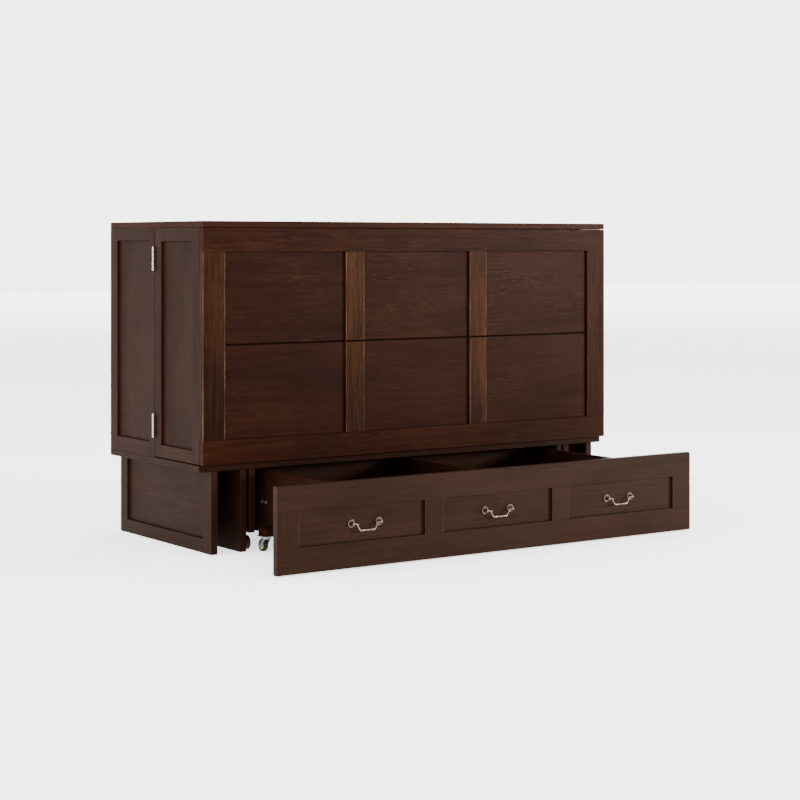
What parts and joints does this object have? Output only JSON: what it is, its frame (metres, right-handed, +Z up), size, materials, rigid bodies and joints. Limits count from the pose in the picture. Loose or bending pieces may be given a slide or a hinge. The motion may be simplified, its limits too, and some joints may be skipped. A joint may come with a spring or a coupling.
{
  "type": "murphy cabinet bed",
  "caption": "Closed walnut cabinet bed: dropping front panel, lifting lid, side doors, folded mattress, and a full-width storage drawer on casters pulled open.",
  "frame": {"origin": "on the floor under the middle of the whole object with its drawer open", "axes": "+X to the right seen from the front, +Y towards the wall behind, +Z up"},
  "size_m": [1.644, 1.1, 1.04],
  "materials": {
    "walnut_side": "dark walnut stain, satin lacquer, grain upright",
    "walnut_front": "dark walnut stain, satin lacquer, grain level",
    "walnut_lid": "dark walnut stain, satin lacquer",
    "walnut_panel": "dark walnut stain, satin lacquer",
    "walnut_drawer": "walnut stain, satin lacquer",
    "plywood": "clear lacquered plywood",
    "ticking": "quilted mattress cover",
    "antique_brass": "pale antique finish",
    "nickel": "satin nickel",
    "zinc": "zinc plated",
    "tread": "black tread on a green core",
    "glide": "dark plastic"
  },
  "bodies": {
    "cabinet": {"back_panel": "walnut_panel", "back_top_rail": "walnut_lid", "lid_hinge_lower_leaves": "nickel", "deck_board": "walnut_front", "deck_slats": "plywood", "rear_side_frames": "walnut_side", "rear_side_panels": "walnut_panel", "base_side_frames": "walnut_side", "base_side_panels": "walnut_panel", "base_inner_panels": "walnut_panel", "base_back_panel": "walnut_panel", "guide_battens": "walnut_side", "base_glides": "glide", "door_hinge_fixed_leaves": "nickel", "front_hinge_deck_leaf": "zinc", "mattress_head": "ticking", "mattress_middle": "ticking", "mattress_foot": "ticking"},
    "lid": {"lid": "walnut_lid", "lid_hinge_upper_leaves": "nickel"},
    "door_left": {"door_frame_left": "walnut_side", "door_panel_left": "walnut_panel", "door_hinge_leaves_left": "nickel"},
    "door_right": {"door_frame_right": "walnut_side", "door_panel_right": "walnut_panel", "door_hinge_leaves_right": "nickel"},
    "front": {"front_top_rail": "walnut_front", "front_bottom_rail": "walnut_front", "front_outer_stiles": "walnut_front", "front_mid_stiles": "walnut_front", "front_infill_left": "walnut_front", "front_infill_center": "walnut_front", "front_infill_right": "walnut_front", "front_hinge_panel_leaf": "zinc", "foot_deck_panel": "plywood", "foot_deck_hinges": "zinc"},
    "leg_left": {"foot_leg_left": "walnut_side"},
    "leg_right": {"foot_leg_right": "walnut_side"},
    "drawer": {"drawer_front_rails": "walnut_drawer", "drawer_front_stiles": "walnut_drawer", "drawer_front_infills": "walnut_drawer", "drawer_sides": "walnut_drawer", "drawer_back": "walnut_drawer", "drawer_bottom": "walnut_panel", "drawer_divider": "walnut_drawer", "drawer_bolts": "nickel", "caster_plates": "zinc", "handle_rosettes": "antique_brass", "handle_posts": "antique_brass"},
    "bail_left": {"handle_bail_left": "antique_brass"},
    "bail_center": {"handle_bail_center": "antique_brass"},
    "bail_right": {"handle_bail_right": "antique_brass"},
    "fork_front_left": {"caster_fork_front_left": "zinc"},
    "wheel_front_left": {"caster_wheel_front_left": "tread"},
    "fork_front_right": {"caster_fork_front_right": "zinc"},
    "wheel_front_right": {"caster_wheel_front_right": "tread"},
    "fork_rear_left": {"caster_fork_rear_left": "zinc"},
    "wheel_rear_left": {"caster_wheel_rear_left": "tread"},
    "fork_rear_right": {"caster_fork_rear_right": "zinc"},
    "wheel_rear_right": {"caster_wheel_rear_right": "tread"}
  },
  "joints": [
    {"name": "lid_lift", "type": "hinge", "parent": "cabinet", "child": "lid", "pos_m": [0, 0.5468, 1.02], "axis": [-1, 0, 0], "range_deg": [0, 90]},
    {"name": "front_drop", "type": "hinge", "parent": "cabinet", "child": "front", "pos_m": [0, -0.078, 0.2855], "axis": [1, 0, 0], "range_deg": [0, 90]},
    {"name": "door_left_swing", "type": "hinge", "parent": "cabinet", "child": "door_left", "pos_m": [-0.8176, 0.2235, 0.65], "axis": [0, 0, -1], "range_deg": [0, 175]},
    {"name": "door_right_swing", "type": "hinge", "parent": "cabinet", "child": "door_right", "pos_m": [0.8176, 0.2235, 0.65], "axis": [0, 0, 1], "range_deg": [0, 175]},
    {"name": "leg_left_fold", "type": "hinge", "parent": "front", "child": "leg_left", "pos_m": [-0.77675, -0.0674, 0.33], "axis": [-1, 0, 0], "range_deg": [0, 90]},
    {"name": "leg_right_fold", "type": "hinge", "parent": "front", "child": "leg_right", "pos_m": [0.77675, -0.0674, 0.33], "axis": [-1, 0, 0], "range_deg": [0, 90]},
    {"name": "drawer_slide", "type": "slide", "parent": "cabinet", "child": "drawer", "axis": [0, -1, 0], "range_m": [-0.4436, 0.04]},
    {"name": "bail_left_swing", "type": "hinge", "parent": "drawer", "child": "bail_left", "pos_m": [-0.5, -0.545, 0.135], "axis": [-1, 0, 0], "range_deg": [-15, 90]},
    {"name": "bail_center_swing", "type": "hinge", "parent": "drawer", "child": "bail_center", "pos_m": [0, -0.545, 0.135], "axis": [-1, 0, 0], "range_deg": [-15, 90]},
    {"name": "bail_right_swing", "type": "hinge", "parent": "drawer", "child": "bail_right", "pos_m": [0.5, -0.545, 0.135], "axis": [-1, 0, 0], "range_deg": [-15, 90]},
    {"name": "caster_front_left_swivel", "type": "hinge", "parent": "drawer", "child": "fork_front_left", "pos_m": [-0.597, -0.405, 0.044], "axis": [0, 0, 1], "continuous": true},
    {"name": "caster_front_left_roll", "type": "hinge", "parent": "fork_front_left", "child": "wheel_front_left", "pos_m": [-0.597, -0.385, 0.02], "axis": [1, 0, 0], "continuous": true},
    {"name": "caster_front_right_swivel", "type": "hinge", "parent": "drawer", "child": "fork_front_right", "pos_m": [0.597, -0.405, 0.044], "axis": [0, 0, 1], "continuous": true},
    {"name": "caster_front_right_roll", "type": "hinge", "parent": "fork_front_right", "child": "wheel_front_right", "pos_m": [0.597, -0.385, 0.02], "axis": [1, 0, 0], "continuous": true},
    {"name": "caster_rear_left_swivel", "type": "hinge", "parent": "drawer", "child": "fork_rear_left", "pos_m": [-0.597, -0.118, 0.044], "axis": [0, 0, 1], "continuous": true},
    {"name": "caster_rear_left_roll", "type": "hinge", "parent": "fork_rear_left", "child": "wheel_rear_left", "pos_m": [-0.597, -0.098, 0.02], "axis": [1, 0, 0], "continuous": true},
    {"name": "caster_rear_right_swivel", "type": "hinge", "parent": "drawer", "child": "fork_rear_right", "pos_m": [0.597, -0.118, 0.044], "axis": [0, 0, 1], "continuous": true},
    {"name": "caster_rear_right_roll", "type": "hinge", "parent": "fork_rear_right", "child": "wheel_rear_right", "pos_m": [0.597, -0.098, 0.02], "axis": [1, 0, 0], "continuous": true}
  ]
}
